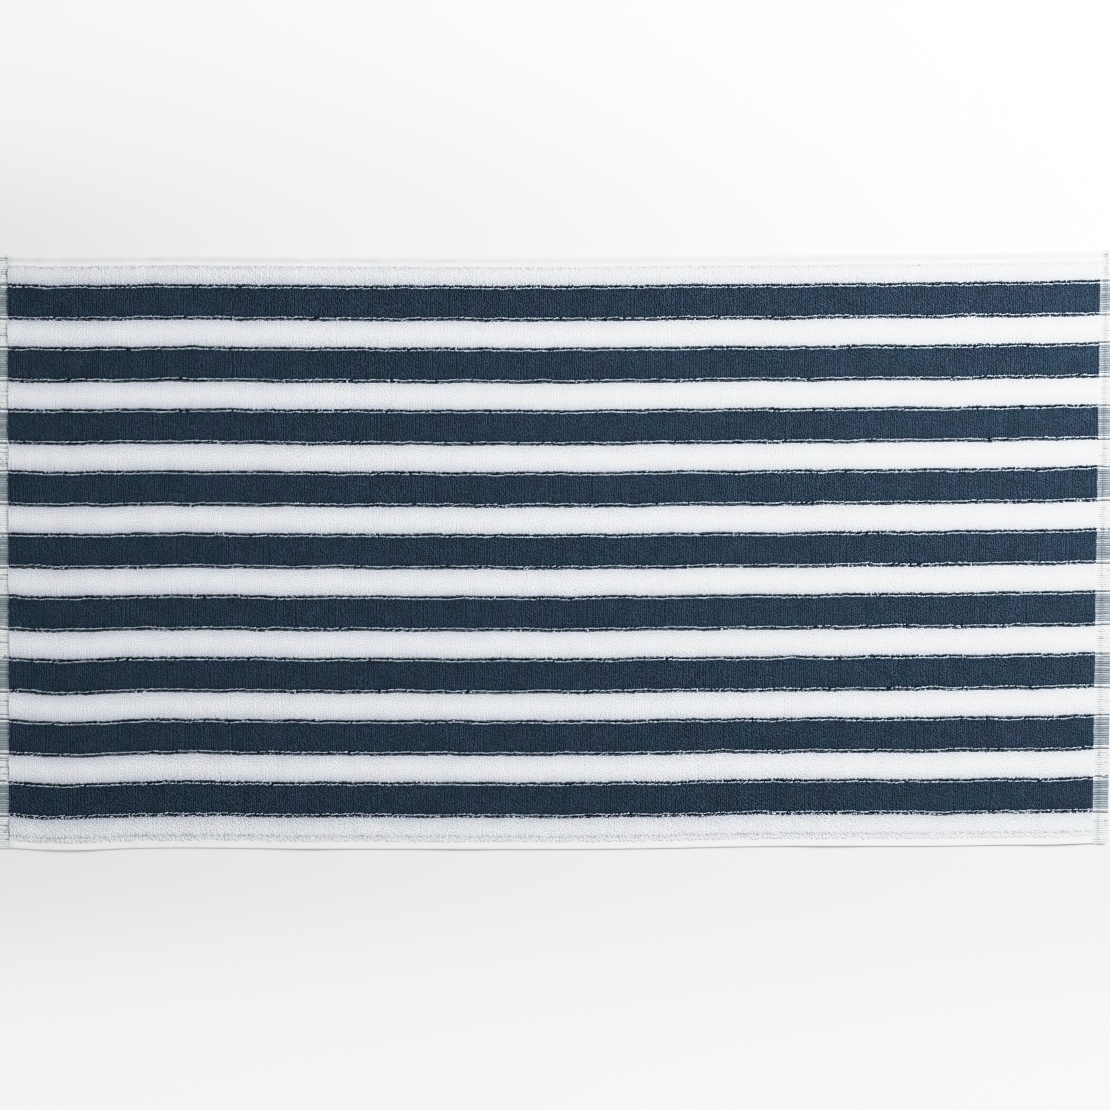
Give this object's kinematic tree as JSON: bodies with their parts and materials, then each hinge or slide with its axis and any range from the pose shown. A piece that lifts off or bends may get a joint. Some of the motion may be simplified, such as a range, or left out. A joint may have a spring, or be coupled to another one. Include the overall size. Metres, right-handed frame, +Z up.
{
  "type": "bath towel",
  "caption": "Striped terry bath towel lying open and flat, with raised pile bands, turned and stitched long edges and a flat-woven header at each end.",
  "frame": {"origin": "on the surface that the towel lies on, below the middle of its box", "axes": "+X along the length and the stripes, +Y across the width towards the back edge, +Z up"},
  "size_m": [1.445, 0.7712, 0.0061],
  "materials": {
    "white_terry": "soft white cotton loop pile, dull and uneven",
    "navy_terry": "dark navy cotton loop pile, dull with a faint sheen on the loops",
    "flat_weave": "smooth plain-woven cotton of the hems and headers, matt"
  },
  "bodies": {
    "root": {"towel_cloth": "white_terry"}
  },
  "joints": []
}
